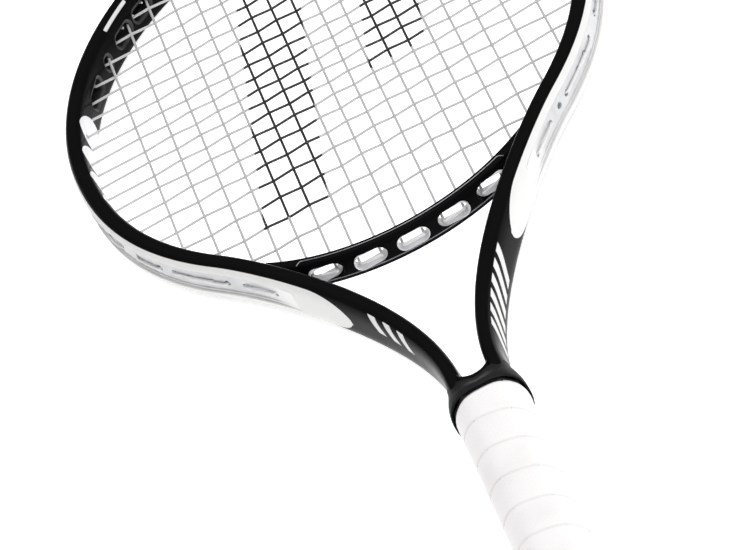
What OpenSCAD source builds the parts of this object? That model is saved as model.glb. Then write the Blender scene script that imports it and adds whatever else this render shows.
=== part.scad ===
// Tennis racket, strung, lying face up.
// Origin: centre of the butt end face. +Y runs to the tip, +X to the right, +Z up through the front face.
// The string bed lies in the plane z = 0. Millimetres.

/* [Head] */
// Overall length, butt face to tip
racket_len = 686; // [680:1:690]
// Half width of the hoop, measured to the middle of its tube
hoop_half_w = 129.2; // [127:0.1:131]
// Height up the racket of the widest place of the head
head_y = 522; // [520:0.5:524]
// Width of the frame tube, across the racket's plane
tube_w = 10.6; // [10.2:0.1:11]
// Width of the tube at the foot of the shafts and in the handle
foot_tube_w = 8.8; // [8.6:0.1:9]
// Height of the frame tube in the hoop and the throat
tube_h = 23.2; // [22:0.1:24]
// Roundness of the tube's section, 2 is an ellipse
tube_power = 2.9; // [2.6:0.1:3.2]
// Depth of the string channel around the outside of the hoop
channel_d = 2.6; // [2.2:0.1:2.8]
// Width of that channel
channel_w = 11.2; // [11:0.1:11.4]

/* [Throat] */
// Place of the S-bend where the hoop turns into the shaft
shoulder_x = 85; // [84:0.5:86]
// Height up the racket of the S-bend
shoulder_y = 395.5; // [394:0.5:397]
// Lean of the tube at the S-bend, from +Y
shoulder_angle = 40; // [39:0.5:41]
// Half distance between the shafts at their foot
foot_x = 9.8; // [9.6:0.1:10.2]
// Height of that foot
foot_y = 227; // [225:1:229]
// Inner radius of the bridge that closes the head
bridge_r = 100; // [98:1:102]
// Height of the bridge's inner edge on the centre line
bridge_y = 357; // [356:0.5:358]
// Thickness of the bridge
bridge_t = 7; // [6.5:0.1:7.5]
// Depth of the bridge, front to back
bridge_h = 15; // [14:0.5:16]
// Half angle of the bridge's arc, which ends inside the hoop's tube
bridge_angle = 39.5; // [39:0.5:40]

/* [Ports] */
// Height of a string port
port_h = 8; // [7.6:0.1:8.2]
// Length of a port beyond the two strings that it takes
port_margin = 6.5; // [6:0.1:7]
// Wall of a port liner
liner_wall = 0.9; // [0.8:0.1:1]

/* [Strings] */
// Diameter of the string
string_d = 1.3; // [1.2:0.05:1.4]
// Main strings on each side of the centre line
mains_half = 9; // [9:1:9]
// Cross strings
cross_count = 20; // [20:1:20]
// Spacing of the mains next to the centre line
main_pitch = 10.52; // [10.4:0.02:10.6]
// Growth of that spacing towards the sides
main_growth = 0.000204; // [0.0002:0.000001:0.00021]
// Height of the tenth cross string
cross_y = 525.4; // [525:0.1:526]
// Spacing of the crosses around it
cross_pitch = 11.5; // [11.4:0.1:11.6]
// Growth of that spacing towards the throat
cross_growth_low = 0.036; // [0.035:0.001:0.037]
// Growth of that spacing towards the tip
cross_growth_high = 0.16; // [0.15:0.01:0.17]

/* [Handle] */
// Width of the wrapped handle
grip_w = 34.6; // [34:0.1:35]
// Thickness of the wrapped handle
grip_t = 30.5; // [30:0.1:31]
// Thickness of the wrapped grip tape
wrap_t = 1.9; // [1.7:0.1:2]
// Height of the top end of the grip tape
grip_top = 204; // [203:1:205]
// Height of the bottom edge of the rubber collar, which covers the end of the tape
collar_low = 199.5; // [199:0.5:200]
// Height of the top end of the handle shells
pallet_top = 207; // [206.5:0.5:208]
// Height of the top edge of the rubber collar
collar_top = 223; // [221:1:224]
// Half width of the butt cap's flared rim
butt_half_w = 20; // [19.5:0.1:20.5]
// Half thickness of that rim
butt_half_t = 18; // [17.5:0.1:18.5]

/* [Butt door] */
// Width of the door in the butt cap
door_w = 15; // [14:0.5:16]
// Height of the door above its hinge axis
door_h = 12; // [11.5:0.5:12.5]
// Radius of the door's hinge knuckle
knuckle_r = 1.6; // [1.5:0.05:1.7]
// Radius of the door's hinge pin
pin_r = 0.75; // [0.7:0.01:0.8]

/* [Hidden] */

// The hoop's upper half is half an ellipse, and its tip ends the racket's length.
hoop_b = racket_len - head_y - tube_w / 2;
// Half length of the pull on each curve point, which sets how full the S-bend is.
widest_pull = 50;
shoulder_pull_up = 47;
shoulder_pull_down = 30;
foot_pull_up = 62;
foot_pull_down = 14;
// The shafts run straight and parallel inside the handle.
handle_x = 8.4;
handle_path_top = 186;
tube_end_y = 13;
handle_tube_h = 19.5;
handle_power = 2.6;
tube_wall = 1.6;
hollow_top = 375;

function bez(a, b, c, d, t) = pow(1 - t, 3) * a + 3 * pow(1 - t, 2) * t * b
    + 3 * (1 - t) * t * t * c + pow(t, 3) * d;
function lerp(a, b, t) = a + (b - a) * t;
function ramp(a, b, v) = let(t = min(1, max(0, (v - a) / (b - a)))) t * t * (3 - 2 * t);
function unit(v) = v / norm(v);
function spow(v, p) = sign(v) * pow(abs(v), p);

// ---- Middle line of the tube: right half, from the butt up to the tip ----
widest = [hoop_half_w, head_y];
shoulder = [shoulder_x, shoulder_y];
foot = [foot_x, foot_y];
handle_end = [handle_x, handle_path_top];
lean = [sin(shoulder_angle), cos(shoulder_angle)];
up = [0, 1];
foot_steps = 4;
shaft_steps = 20;
side_steps = 15;
tip_steps = 28;
half_line = concat(
    [[handle_x, tube_end_y]],
    [for (i = [0:foot_steps - 1])
        bez(handle_end, handle_end + foot_pull_down * up,
            foot - foot_pull_down * up, foot, i / foot_steps)],
    [for (i = [0:shaft_steps - 1])
        bez(foot, foot + foot_pull_up * up,
            shoulder - shoulder_pull_down * lean, shoulder, i / shaft_steps)],
    [for (i = [0:side_steps - 1])
        bez(shoulder, shoulder + shoulder_pull_up * lean,
            widest - widest_pull * up, widest, i / side_steps)],
    [for (i = [0:tip_steps])
        [hoop_half_w * cos(90 * i / tip_steps), head_y + hoop_b * sin(90 * i / tip_steps)]]);
last = len(half_line) - 1;
function mirrored(p) = [-p[0], p[1]];
whole_line = concat([for (i = [0:last - 1]) mirrored(half_line[i])],
    [for (i = [last:-1:0]) half_line[i]]);

function heading(line, i) = unit(line[min(i + 1, len(line) - 1)] - line[max(i - 1, 0)]);
// Outward side of the line, which runs up the left side, over the tip and down the right side.
function outward(line, i) = let(h = heading(line, i)) [-h[1], h[0]];

// ---- Sections: [outward distance, height] pairs ----
function oval(half_w, half_h, power, count) = [for (i = [0:count - 1])
    let(a = 360 * i / count)
    [half_w * spow(cos(a), 2 / power), half_h * spow(sin(a), 2 / power)]];
arc_points = 8;
// The tube widens from the foot of the shafts to the throat.
function half_width(y) = lerp(foot_tube_w, tube_w, ramp(foot_y + 5, foot_y + 85, y)) / 2;
function tube_section(y) =
    let(k = ramp(handle_path_top, foot_y + 10, y),
        half_w = half_width(y),
        half_h = lerp(handle_tube_h, tube_h, k) / 2,
        power = lerp(handle_power, tube_power, k),
        depth = channel_d * ramp(348, 372, y),
        edge = channel_w / 2,
        first = asin(pow((edge + 0.3) / half_h, power / 2)))
    concat(
        [[half_w - depth, -edge], [half_w - depth, edge]],
        [for (i = [0:arc_points])
            let(a = lerp(first, 180, i / arc_points))
            [half_w * spow(cos(a), 2 / power), half_h * spow(sin(a), 2 / power)]],
        [for (i = [1:arc_points])
            let(a = lerp(180, 360 - first, i / arc_points))
            [half_w * spow(cos(a), 2 / power), half_h * spow(sin(a), 2 / power)]]);
hollow_points = 12;
function hollow_section(y) =
    let(k = ramp(handle_path_top, foot_y + 10, y),
        half_w = half_width(y) - tube_wall,
        half_h = lerp(handle_tube_h, tube_h, k) / 2 - tube_wall,
        power = lerp(handle_power, tube_power, k))
    oval(half_w, half_h, power, hollow_points);

// A closed skin through equal rings of points, with flat ends.
module skin(rings) {
    n = len(rings[0]);
    m = len(rings);
    points = [for (r = rings, p = r) p];
    ends = [[for (j = [n - 1:-1:0]) j], [for (j = [0:n - 1]) (m - 1) * n + j]];
    sides = [for (i = [0:m - 2], j = [0:n - 1], k = [0, 1])
        let(a = i * n + j, b = i * n + (j + 1) % n, c = a + n, d = b + n)
        k == 0 ? [a, b, d] : [a, d, c]];
    polyhedron(points = points, faces = concat(ends, sides));
}
function ring(p, out, section) = [for (s = section) [p[0] + out[0] * s[0], p[1] + out[1] * s[0], s[1]]];
// Rings run clockwise seen along the line, so they are listed backwards to keep the skin's outside out.
function swept(line, sections) = [for (i = [0:len(line) - 1])
    let(r = ring(line[i], outward(line, i), sections[i])) [for (j = [len(r) - 1:-1:0]) r[j]]];

// ---- Strings ----
function main_x(m) = let(u = m - 0.5) main_pitch * u + main_growth * pow(u, 5);
function cross_at(c) = let(v = c - 10) cross_y + cross_pitch * v
    + (v < 0 ? cross_growth_low * pow(v, 3) : cross_growth_high * v * v);
string_r = string_d / 2;
weave_z = string_r + 0.02;
// A string's turn runs straight over the curved strip that lines the channel, so it starts a little above it.
strip_t = 0.6;
turn_rise = 0.5;
turn_offset = tube_w / 2 - channel_d + strip_t + string_r + turn_rise;
// Middle, outward side and inner wall of the tube from the throat to the tip, on the right half.
head_ids = [for (i = [foot_steps + 12:last]) i];
function middle(i) = half_line[i];
function outside(i) = -outward(half_line, i);
function wall(i) = middle(i) - outside(i) * tube_w / 2;
// A place is [middle of the tube, outward side] where a string meets the inner wall.
by_height = [for (i = head_ids) [wall(i)[1], concat(middle(i), outside(i))]];
tip_ids = [for (i = [last:-1:last - tip_steps]) i];
by_width_high = [for (i = tip_ids) [wall(i)[0], concat(middle(i), outside(i))]];
by_width_low = [for (i = [foot_steps + 10:last - tip_steps]) [wall(i)[0], concat(middle(i), outside(i))]];
function column(table, k) = [for (row = table) [row[0], row[1][k]]];
height_columns = [for (k = [0:3]) column(by_height, k)];
high_columns = [for (k = [0:3]) column(by_width_high, k)];
low_columns = [for (k = [0:3]) column(by_width_low, k)];
function place(columns, v) = [[lookup(v, columns[0]), lookup(v, columns[1])],
    unit([lookup(v, columns[2]), lookup(v, columns[3])])];
function cross_place(c) = place(height_columns, cross_at(c));
function high_place(m) = place(high_columns, main_x(m));
function low_place(m) = place(low_columns, main_x(m));
function entry(p) = p[0] - p[1] * tube_w / 2;
function turn_point(p) = p[0] + p[1] * turn_offset;
// The bridge carries the inner mains, and the shoulders of the hoop carry the rest.
bridge_mains = 5;
bridge_centre_y = bridge_y + bridge_r;
function bridge_arc(x, r) = [x, bridge_centre_y - sqrt(r * r - x * x)];
bridge_turn_r = bridge_r + bridge_t + string_r + 0.25;
function main_low(m) = m <= bridge_mains ? bridge_arc(main_x(m), bridge_r + bridge_t) : entry(low_place(m));
function low_turn(m) = m <= bridge_mains ? bridge_arc(main_x(m), bridge_turn_r) : turn_point(low_place(m));

module rod(a, b, r) {
    d = b - a;
    l = norm(d);
    translate(a) rotate([0, acos(d[2] / l), atan2(d[1], d[0])]) cylinder(r = r, h = l, $fn = 16);
}

// ---- Ports: each takes two string ends ----
// Side ports hold pairs of crosses, and corner ports hold a main and a cross.
side_pairs = [for (c = [3:2:15]) [cross_place(c), cross_place(c + 1)]];
high_pairs = [for (i = [0:3]) [high_place(mains_half - i), cross_place(17 + i)]];
low_pairs = [[low_place(8), cross_place(1)], [low_place(9), cross_place(2)]];
// The port next to the bridge runs out through the bridge's end as well.
joint_pair = [low_place(bridge_mains + 1), low_place(bridge_mains + 2)];
// A port is [middle, outward side, length].
function port_of(pair, margin) = let(side = unit(pair[0][1] + pair[1][1]))
    [(pair[0][0] + pair[1][0]) / 2, side, norm(pair[0][0] - pair[1][0]) + margin];
joint_port = port_of(joint_pair, port_margin);
side_ports = concat([for (pair = concat(side_pairs, high_pairs, low_pairs)) port_of(pair, port_margin)],
    [joint_port]);
function mirrored_place(p) = [mirrored(p[0]), mirrored(p[1])];
tip_ports = concat([port_of([mirrored_place(high_place(1)), high_place(1)], port_margin)],
    [for (m = [2, 4], s = [-1, 1]) port_of([for (k = [0, 1])
        s > 0 ? high_place(m + k) : mirrored_place(high_place(m + k))], port_margin)]);
bridge_port_len = main_pitch + port_margin - 1;

module port_shape(long, high, fine) {
    square([long - high, high], center = true);
    for (s = [-1, 1]) translate([s * (long - high) / 2, 0]) circle(r = high / 2, $fn = fine);
}
// Lays children out along each port's tunnel: +X is outward, Y along the frame, Z up.
module at_port(port) {
    translate([port[0][0], port[0][1], 0]) rotate(atan2(port[1][1], port[1][0])) children();
}
// A bar through the wall, rounded at its two ends.
module port_bar(long, high, depth) {
    hull() for (s = [-1, 1])
        translate([-depth / 2, s * (long - high) / 2, 0]) rotate([0, 90, 0])
            cylinder(r = high / 2, h = depth, $fn = 12);
}
// Long enough to cut through any wall of the frame.
through = 26;
module port_bars(ports, grow) {
    for (port = ports) at_port(port) port_bar(port[2] + 2 * grow, port_h + 2 * grow, through);
}
module both_sides() {
    children();
    mirror([1, 0, 0]) children();
}

// ---- Frame: one tube bent like a hairpin, made of lengths that butt together between the ports ----
frame_rings = swept(whole_line, [for (p = whole_line) tube_section(p[1])]);
hollow_last = len([for (p = half_line) if (p[1] < hollow_top && p[0] < shoulder_x) 1]) - 1;
hollow_line = concat([[handle_x, tube_end_y - 1]], [for (i = [1:hollow_last]) half_line[i]]);
hollow_rings = [for (i = [0:hollow_last])
    ring(hollow_line[i], -outward(hollow_line, i), hollow_section(hollow_line[i][1]))];
// Places of the butts, counted along the middle line from the handle.
shaft_end = foot_steps + shaft_steps + 2;
low_end = foot_steps + shaft_steps + side_steps + 2;
high_end = last - 8;
module frame_length(first, final) {
    color("#141416") difference() {
        skin([for (i = [first:final]) frame_rings[i]]);
        both_sides() port_bars(side_ports, 0);
        port_bars(tip_ports, 0);
        both_sides() skin(hollow_rings);
    }
}
module left_shaft() {
    frame_length(0, shaft_end);
}
module left_low_hoop() {
    frame_length(shaft_end, low_end);
}
module left_high_hoop() {
    frame_length(low_end, high_end);
}
module tip_hoop() {
    frame_length(high_end, 2 * last - high_end);
}
module right_high_hoop() {
    frame_length(2 * last - high_end, 2 * last - low_end);
}
module right_low_hoop() {
    frame_length(2 * last - low_end, 2 * last - shaft_end);
}
module right_shaft() {
    frame_length(2 * last - shaft_end, 2 * last);
}

module bridge_bar(inner_r, thick, high) {
    rotate([0, 0, -90 - bridge_angle]) rotate_extrude(angle = 2 * bridge_angle, $fn = 96)
        translate([inner_r, -high / 2]) square([thick, high]);
}
module at_bridge_ports() {
    for (i = [-2:2]) translate(concat(bridge_arc(i * main_pitch * 2, bridge_r), 0)) children();
}
module throat_bridge() {
    color("#141416") difference() {
        translate([0, bridge_centre_y, 0]) bridge_bar(bridge_r, bridge_t, bridge_h);
        at_bridge_ports() y_prism(-through / 2, through / 2) port_shape(bridge_port_len, port_h, 32);
        both_sides() port_bars([joint_port], 0);
    }
}

// Wedge that fills the crotch between the shafts, with a round saddle on top.
module throat_filler() {
    filler_low = 188;
    filler_top = 227;
    filler_h = 17;
    // the wedge is bonded into the tubes' inner walls
    bond = 0.8;
    low_half = handle_x - foot_tube_w / 2 + bond;
    high_half = foot_x - foot_tube_w / 2 + bond;
    saddle_r = high_half - bond - 0.2;
    saddle_y = filler_top - 2;
    color("#141416") difference() {
        translate([0, 0, -filler_h / 2]) linear_extrude(filler_h)
            polygon([[-low_half, filler_low], [low_half, filler_low],
                [high_half, filler_top], [-high_half, filler_top]]);
        translate([0, saddle_y, -filler_h]) cylinder(r = saddle_r, h = 2 * filler_h, $fn = 48);
        translate([-saddle_r, saddle_y, -filler_h]) cube([2 * saddle_r, 6, 2 * filler_h]);
    }
}

// ---- Trim around the outside of the hoop ----
channel_floor = tube_w / 2 - channel_d;
strip_side = channel_w / 2 - 0.25;
function strip_section() = [[channel_floor, -strip_side], [channel_floor + strip_t, -strip_side],
    [channel_floor + strip_t, strip_side], [channel_floor, strip_side]];
// Indices of the line's points between two heights on the left side.
function left_part(low, high) = [for (i = [foot_steps + 1:last])
    if (whole_line[i][1] >= low && whole_line[i][1] <= high) i];
bumper_low = 590;
strip_low = 372;
strip_high = bumper_low - 8;
strip_hole = 0.15;
module strip_band(ids) {
    skin([for (i = ids)
        let(r = ring(whole_line[i], outward(whole_line, i), strip_section()))
        [for (j = [3:-1:0]) r[j]]]);
}
module grommet_strip() {
    color("#c9cacc") difference() {
        strip_band(left_part(strip_low, strip_high));
        mirror([1, 0, 0]) port_bars(side_ports, strip_hole);
    }
}
module left_grommet_strip() {
    grommet_strip();
}
module right_grommet_strip() {
    mirror([1, 0, 0]) grommet_strip();
}
// The bumper is the strip over the tip.
module bumper_guard() {
    ids = [for (i = [0:2 * last]) if (whole_line[i][1] >= bumper_low) i];
    color("#1b1b1d") difference() {
        strip_band(ids);
        both_sides() port_bars(side_ports, strip_hole);
        port_bars(tip_ports, strip_hole);
    }
}

// ---- Port liners: short tubes through the wall ----
liner_gap = 0.25;
liner_depth = tube_w - channel_d + 0.2;
module liner(long, depth) {
    rotate([90, 0, 90]) translate([0, 0, -depth / 2]) linear_extrude(depth) difference() {
        port_shape(long - 2 * liner_gap, port_h - 2 * liner_gap, 32);
        port_shape(long - 2 * liner_wall - 2 * liner_gap, port_h - 2 * liner_wall - 2 * liner_gap, 32);
    }
}
module liners(ports) {
    for (port = ports) at_port(port) translate([-channel_d / 2, 0, 0]) liner(port[2], liner_depth);
}
module right_port_liners() {
    color("#e4e4e8") liners(side_ports);
}
module left_port_liners() {
    color("#e4e4e8") mirror([1, 0, 0]) liners(side_ports);
}
module tip_port_liners() {
    color("#1b1b1d") liners(tip_ports);
}
module bridge_port_liners() {
    color("#c9cacc") at_bridge_ports() translate([0, -bridge_t / 2 - 0.3, 0]) rotate(90)
        liner(bridge_port_len, bridge_t);
}

// ---- Strings: mains lie above the crosses, and the turns join their ends outside the frame ----
function at_z(p, z) = [p[0], p[1], z];
module main_strings() {
    color("#d8d8d6") both_sides() for (m = [1:mains_half])
        rod(at_z(main_low(m), weave_z), at_z(entry(high_place(m)), weave_z), string_r);
}
module cross_strings() {
    color("#d8d8d6") for (c = [1:cross_count]) {
        end = entry(cross_place(c));
        rod(at_z(mirrored(end), -weave_z), at_z(end, -weave_z), string_r);
    }
}
// A string's way out through one port, along the outside and back in through the next hole.
module string_turn(from, out, back, to, z) {
    past = 0.5 * unit(back - out);
    string_leg(from, out, z);
    rod(at_z(out - past, z), at_z(back + past, z), string_r);
    string_leg(to, back, z);
}
// A leg is a hair thinner than the string, so that no two skins coincide where they meet.
module string_leg(from, out, z) {
    hair = 0.03;
    rod(at_z(from, z), at_z(out, z), string_r - hair);
}
module high_turn(a, b) {
    string_turn(entry(a), turn_point(a), turn_point(b), entry(b), weave_z);
}
module string_turns() {
    last_main = high_place(mains_half);
    color("#d8d8d6") {
        both_sides() for (m = [1:2:mains_half - 2]) high_turn(high_place(m), high_place(m + 1));
        both_sides() string_leg(entry(last_main), turn_point(last_main), weave_z);
        string_turn(main_low(1), low_turn(1), mirrored(low_turn(1)), mirrored(main_low(1)), weave_z);
        both_sides() for (m = [2:2:mains_half - 1])
            string_turn(main_low(m), low_turn(m), low_turn(m + 1), main_low(m + 1), weave_z);
        for (c = [1:cross_count - 1]) mirror([c % 2, 0, 0])
            string_turn(entry(cross_place(c)), turn_point(cross_place(c)), turn_point(cross_place(c + 1)),
                entry(cross_place(c + 1)), -weave_z);
    }
}

// ---- Handle ----
function octagon(half_w, half_t, flat_w, flat_t) = [
    [half_w, -flat_t], [half_w, flat_t], [flat_w, half_t], [-flat_w, half_t],
    [-half_w, flat_t], [-half_w, -flat_t], [-flat_w, -half_t], [flat_w, -half_t]];
pallet_half_w = grip_w / 2 - wrap_t;
pallet_half_t = grip_t / 2 - wrap_t;
bevel = 7;
function grip_outline(grow) = octagon(pallet_half_w + grow, pallet_half_t + grow,
    pallet_half_w - bevel + 0.41 * grow, pallet_half_t - bevel + 0.41 * grow);
cavity_half_w = handle_x + foot_tube_w / 2 + 0.5;
cavity_half_t = handle_tube_h / 2 + 0.1;
mouth_half_w = cavity_half_w + 0.5;
mouth_half_t = cavity_half_t + 0.8;
pallet_low = 3.5;
module y_prism(low, high) {
    translate([0, high, 0]) rotate([90, 0, 0]) linear_extrude(high - low) children();
}
module pallet_half() {
    split = 0.1;
    reach = 30;
    intersection() {
        difference() {
            y_prism(pallet_low, pallet_top) polygon(grip_outline(0));
            y_prism(pallet_low - 1, pallet_top + 1)
                polygon(octagon(cavity_half_w, cavity_half_t, cavity_half_w - 3.3, cavity_half_t - 3.9));
            // the tubes spread and grow a little towards the throat
            y_prism(handle_path_top, pallet_top + 1)
                polygon(octagon(mouth_half_w, mouth_half_t, mouth_half_w - 2.8, mouth_half_t - 3.4));
        }
        translate([-reach, 0, split]) cube([2 * reach, racket_len, reach]);
    }
}
module front_pallet() {
    color("#5c5c60") pallet_half();
}
module back_pallet() {
    color("#5c5c60") mirror([0, 0, 1]) pallet_half();
}
module handle_foam() {
    foam_half = handle_x - foot_tube_w / 2 - 0.1;
    foam_h = 17;
    color("#d9d2bd") translate([-foam_half, tube_end_y + 1, -foam_h / 2])
        cube([2 * foam_half, 170, foam_h]);
}
module tube_plug() {
    plug_len = 45;
    gap = 0.1;
    translate([handle_x, 0, 0]) y_prism(tube_end_y + 1, tube_end_y + 1 + plug_len)
        polygon([for (i = [0:11])
            let(a = 30 * i, w = foot_tube_w / 2 - tube_wall - gap, h = handle_tube_h / 2 - tube_wall - gap)
            [w * spow(cos(a), 2 / handle_power), h * spow(sin(a), 2 / handle_power)]]);
}
module right_tube_plug() {
    color("#d9d2bd") tube_plug();
}
module left_tube_plug() {
    color("#d9d2bd") mirror([1, 0, 0]) tube_plug();
}

// ---- Butt ----
cap_wall = 1.5;
cap_end = 3;
cap_skirt = 30;
axis_y = 2.2;
axis_z = -door_h / 2;
window_gap = 0.3;
ear_gap = 0.25;
door_recess = 0.3;
door_t = axis_y - door_recess;
plate_low = 1.3;
swing_room = 0.25;
knuckle_len = door_w - 5;
swing_low = axis_z - door_t - swing_room;
cap_half_t = pallet_half_t + cap_wall;
module cap_outline(half_w, half_t) {
    polygon(octagon(half_w, half_t, half_w - bevel * 1.2, half_t - bevel * 1.2));
}
module butt_cap() {
    flare = 9;
    color("#e9e9eb") difference() {
        union() {
            y_prism(0, flare) cap_outline(butt_half_w, butt_half_t);
            y_prism(flare, cap_skirt) polygon(grip_outline(cap_wall));
        }
        y_prism(cap_end, cap_skirt + 1) polygon(grip_outline(0.05));
        // the door's window, the step that the open door lies in, and the hinge knuckle's notch
        y_prism(-1, cap_end + 1) translate([-door_w / 2 - window_gap, axis_z])
            square([door_w + 2 * window_gap, door_h + window_gap]);
        y_prism(-1, axis_y - plate_low + swing_room) translate([-door_w / 2 - window_gap, swing_low])
            square([door_w + 2 * window_gap, axis_z - swing_low + 1]);
        y_prism(-1, cap_end + 1) translate([-knuckle_len / 2 - ear_gap, swing_low])
            square([knuckle_len + 2 * ear_gap, axis_z - swing_low + 1]);
        // seat of the hinge pin
        translate([-pin_len / 2, axis_y, axis_z]) rotate([0, 90, 0])
            cylinder(r = pin_r, h = pin_len, $fn = 32);
        translate([-pin_len / 2, axis_y, axis_z - pin_r]) cube([pin_len, cap_end, 2 * pin_r]);
    }
}
pin_len = door_w + 5;
module trap_door() {
    color("#1d1d20") difference() {
        union() {
            translate([-door_w / 2, door_recess, axis_z + plate_low])
                cube([door_w, door_t, door_h - plate_low]);
            translate([-knuckle_len / 2, door_recess, axis_z]) cube([knuckle_len, door_t, 2]);
            translate([-knuckle_len / 2, axis_y, axis_z]) rotate([0, 90, 0])
                cylinder(r = knuckle_r, h = knuckle_len, $fn = 32);
        }
        translate([-door_w, axis_y, axis_z]) rotate([0, 90, 0])
            cylinder(r = pin_r + 0.05, h = 2 * door_w, $fn = 32);
    }
}
module door_pin() {
    color("silver") translate([-pin_len / 2, axis_y, axis_z]) rotate([0, 90, 0])
        cylinder(r = pin_r, h = pin_len, $fn = 32);
}
// Four short staples hold the cap's skirt on the handle shells.
module butt_staples() {
    leg = 3;
    wire = 0.6;
    span = 8;
    color("silver") for (s = [-1, 1], y = [16, 24])
        translate([-span / 2, y, s * cap_half_t - (s > 0 ? 0 : wire)]) {
            cube([span, wire, wire]);
            for (x = [0, span - wire])
                translate([x, 0, s > 0 ? -leg : 0]) cube([wire, wire, leg + wire * (s > 0 ? 0 : 1)]);
        }
}

// ---- Wrap ----
module grip_tape() {
    over_cap = 1.8;
    step = 4;
    color("#f1eeee") difference() {
        union() {
            y_prism(cap_skirt, grip_top) polygon(grip_outline(wrap_t));
            y_prism(9.5, cap_skirt + step) polygon(grip_outline(cap_wall + over_cap));
        }
        y_prism(cap_skirt - 1, grip_top + 1) polygon(grip_outline(0.05));
        y_prism(8, cap_skirt + 0.2) polygon(grip_outline(cap_wall + 0.75));
    }
}
// A turn of tape that holds the grip's end, under the collar.
module finishing_tape() {
    thick = 0.25;
    color("#2a2a2c") difference() {
        y_prism(collar_low + 0.6, grip_top) polygon(grip_outline(wrap_t + 0.05 + thick));
        y_prism(collar_low, grip_top + 1) polygon(grip_outline(wrap_t + 0.05));
    }
}
module grip_collar() {
    rubber = 0.9;
    low_grow = wrap_t + 0.4 + rubber;
    neck_half_w = foot_x + foot_tube_w / 2 + 0.1;
    neck_half_t = tube_h / 2 + 0.1;
    lip = 1;
    rim = 2;
    color("#2b2b2e") difference() {
        hull() {
            y_prism(collar_low, pallet_top - 1) polygon(grip_outline(low_grow));
            y_prism(collar_top - rim, collar_top)
                polygon(octagon(neck_half_w + lip, neck_half_t + lip, neck_half_w - 3, neck_half_t - 4));
        }
        y_prism(collar_low - 1, grip_top + 0.1) polygon(grip_outline(wrap_t + 0.4));
        y_prism(collar_low - 1, pallet_top + 0.1) polygon(grip_outline(0.05));
        y_prism(collar_low, collar_top + 1)
            polygon(octagon(neck_half_w, neck_half_t, neck_half_w - 2.6, neck_half_t - 3));
    }
}

left_shaft();
left_low_hoop();
left_high_hoop();
tip_hoop();
right_high_hoop();
right_low_hoop();
right_shaft();
throat_bridge();
throat_filler();
bumper_guard();
left_grommet_strip();
right_grommet_strip();
bridge_port_liners();
left_port_liners();
right_port_liners();
tip_port_liners();
main_strings();
cross_strings();
string_turns();
front_pallet();
back_pallet();
handle_foam();
left_tube_plug();
right_tube_plug();
butt_cap();
butt_staples();
trap_door();
door_pin();
grip_tape();
finishing_tape();
grip_collar();
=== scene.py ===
"""The looks of a strung tennis racket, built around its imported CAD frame. Shapes are in millimetres."""
import math

import bmesh
import bpy
import numpy as np
from mathutils import Matrix, Vector
from mathutils.kdtree import KDTree


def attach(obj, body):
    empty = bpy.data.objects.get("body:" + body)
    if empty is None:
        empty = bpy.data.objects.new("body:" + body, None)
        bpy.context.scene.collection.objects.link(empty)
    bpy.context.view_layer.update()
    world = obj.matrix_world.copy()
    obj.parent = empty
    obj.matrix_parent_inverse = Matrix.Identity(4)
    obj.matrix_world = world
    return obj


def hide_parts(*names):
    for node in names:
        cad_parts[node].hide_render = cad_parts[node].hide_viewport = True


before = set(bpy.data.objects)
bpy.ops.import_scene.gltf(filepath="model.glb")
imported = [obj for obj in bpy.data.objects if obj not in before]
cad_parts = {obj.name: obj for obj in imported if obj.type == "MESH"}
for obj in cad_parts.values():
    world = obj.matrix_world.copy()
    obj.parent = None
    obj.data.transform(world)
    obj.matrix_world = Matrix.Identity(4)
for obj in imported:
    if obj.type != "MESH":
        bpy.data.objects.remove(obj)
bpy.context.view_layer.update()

MM = 0.001
RACKET = "racket"
FRAME_NODES = ["left_shaft", "left_low_hoop", "left_high_hoop", "tip_hoop",
               "right_high_hoop", "right_low_hoop", "right_shaft"]

# ---- Driving dimensions, as in the CAD part ----
RACKET_LEN = 686
HOOP_HALF_W = 129.2
HEAD_Y = 522
TUBE_W, FOOT_TUBE_W = 10.6, 8.8
TUBE_H, HANDLE_TUBE_H = 23.2, 19.5
TUBE_POWER, HANDLE_POWER = 2.9, 2.6
TUBE_WALL = 1.6
CHANNEL_D, CHANNEL_W = 2.6, 11.2
SHOULDER = np.array([85, 395.5])
SHOULDER_ANGLE = math.radians(40)
FOOT = np.array([9.8, 227])
HANDLE_X, TUBE_END_Y, HANDLE_TOP = 8.4, 13, 186
WIDEST_PULL, SHOULDER_UP, SHOULDER_DOWN, FOOT_UP, FOOT_DOWN = 50, 47, 30, 62, 14
HOLLOW_TOP = 375
BRIDGE_R, BRIDGE_Y, BRIDGE_T, BRIDGE_H = 100, 357, 7, 15
BRIDGE_ANGLE = math.radians(39.5)
BRIDGE_CENTRE = np.array([0, BRIDGE_Y + BRIDGE_R])
PORT_H, PORT_MARGIN = 8, 6.5
STRING_R = 0.65
MAINS_HALF, CROSSES, BRIDGE_MAINS = 9, 20, 5
MAIN_PITCH, MAIN_GROWTH = 10.52, 0.000204
CROSS_Y, CROSS_PITCH, CROSS_LOW, CROSS_HIGH = 525.4, 11.5, 0.036, 0.16
GRIP_W, GRIP_T, GRIP_LOW, GRIP_TOP = 34.6, 30.5, 9.5, 204
COLLAR_LOW, COLLAR_TOP = 199.5, 223
BUTT_HALF_T = 18
BUMPER_LOW, STRIP_LOW = 590, 372

HOOP_B = RACKET_LEN - HEAD_Y - TUBE_W / 2


# ---- Small helpers ----
def ramp(a, b, v):
    t = np.clip((v - a) / (b - a), 0, 1)
    return t * t * (3 - 2 * t)


def lerp(a, b, t):
    return a + (b - a) * t


def signed_power(v, p):
    return np.sign(v) * np.abs(v) ** p


def bezier(a, b, c, d, steps):
    t = np.linspace(0, 1, steps, endpoint=False)[:, None]
    return (1 - t) ** 3 * a + 3 * (1 - t) ** 2 * t * b + 3 * (1 - t) * t * t * c + t ** 3 * d


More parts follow.
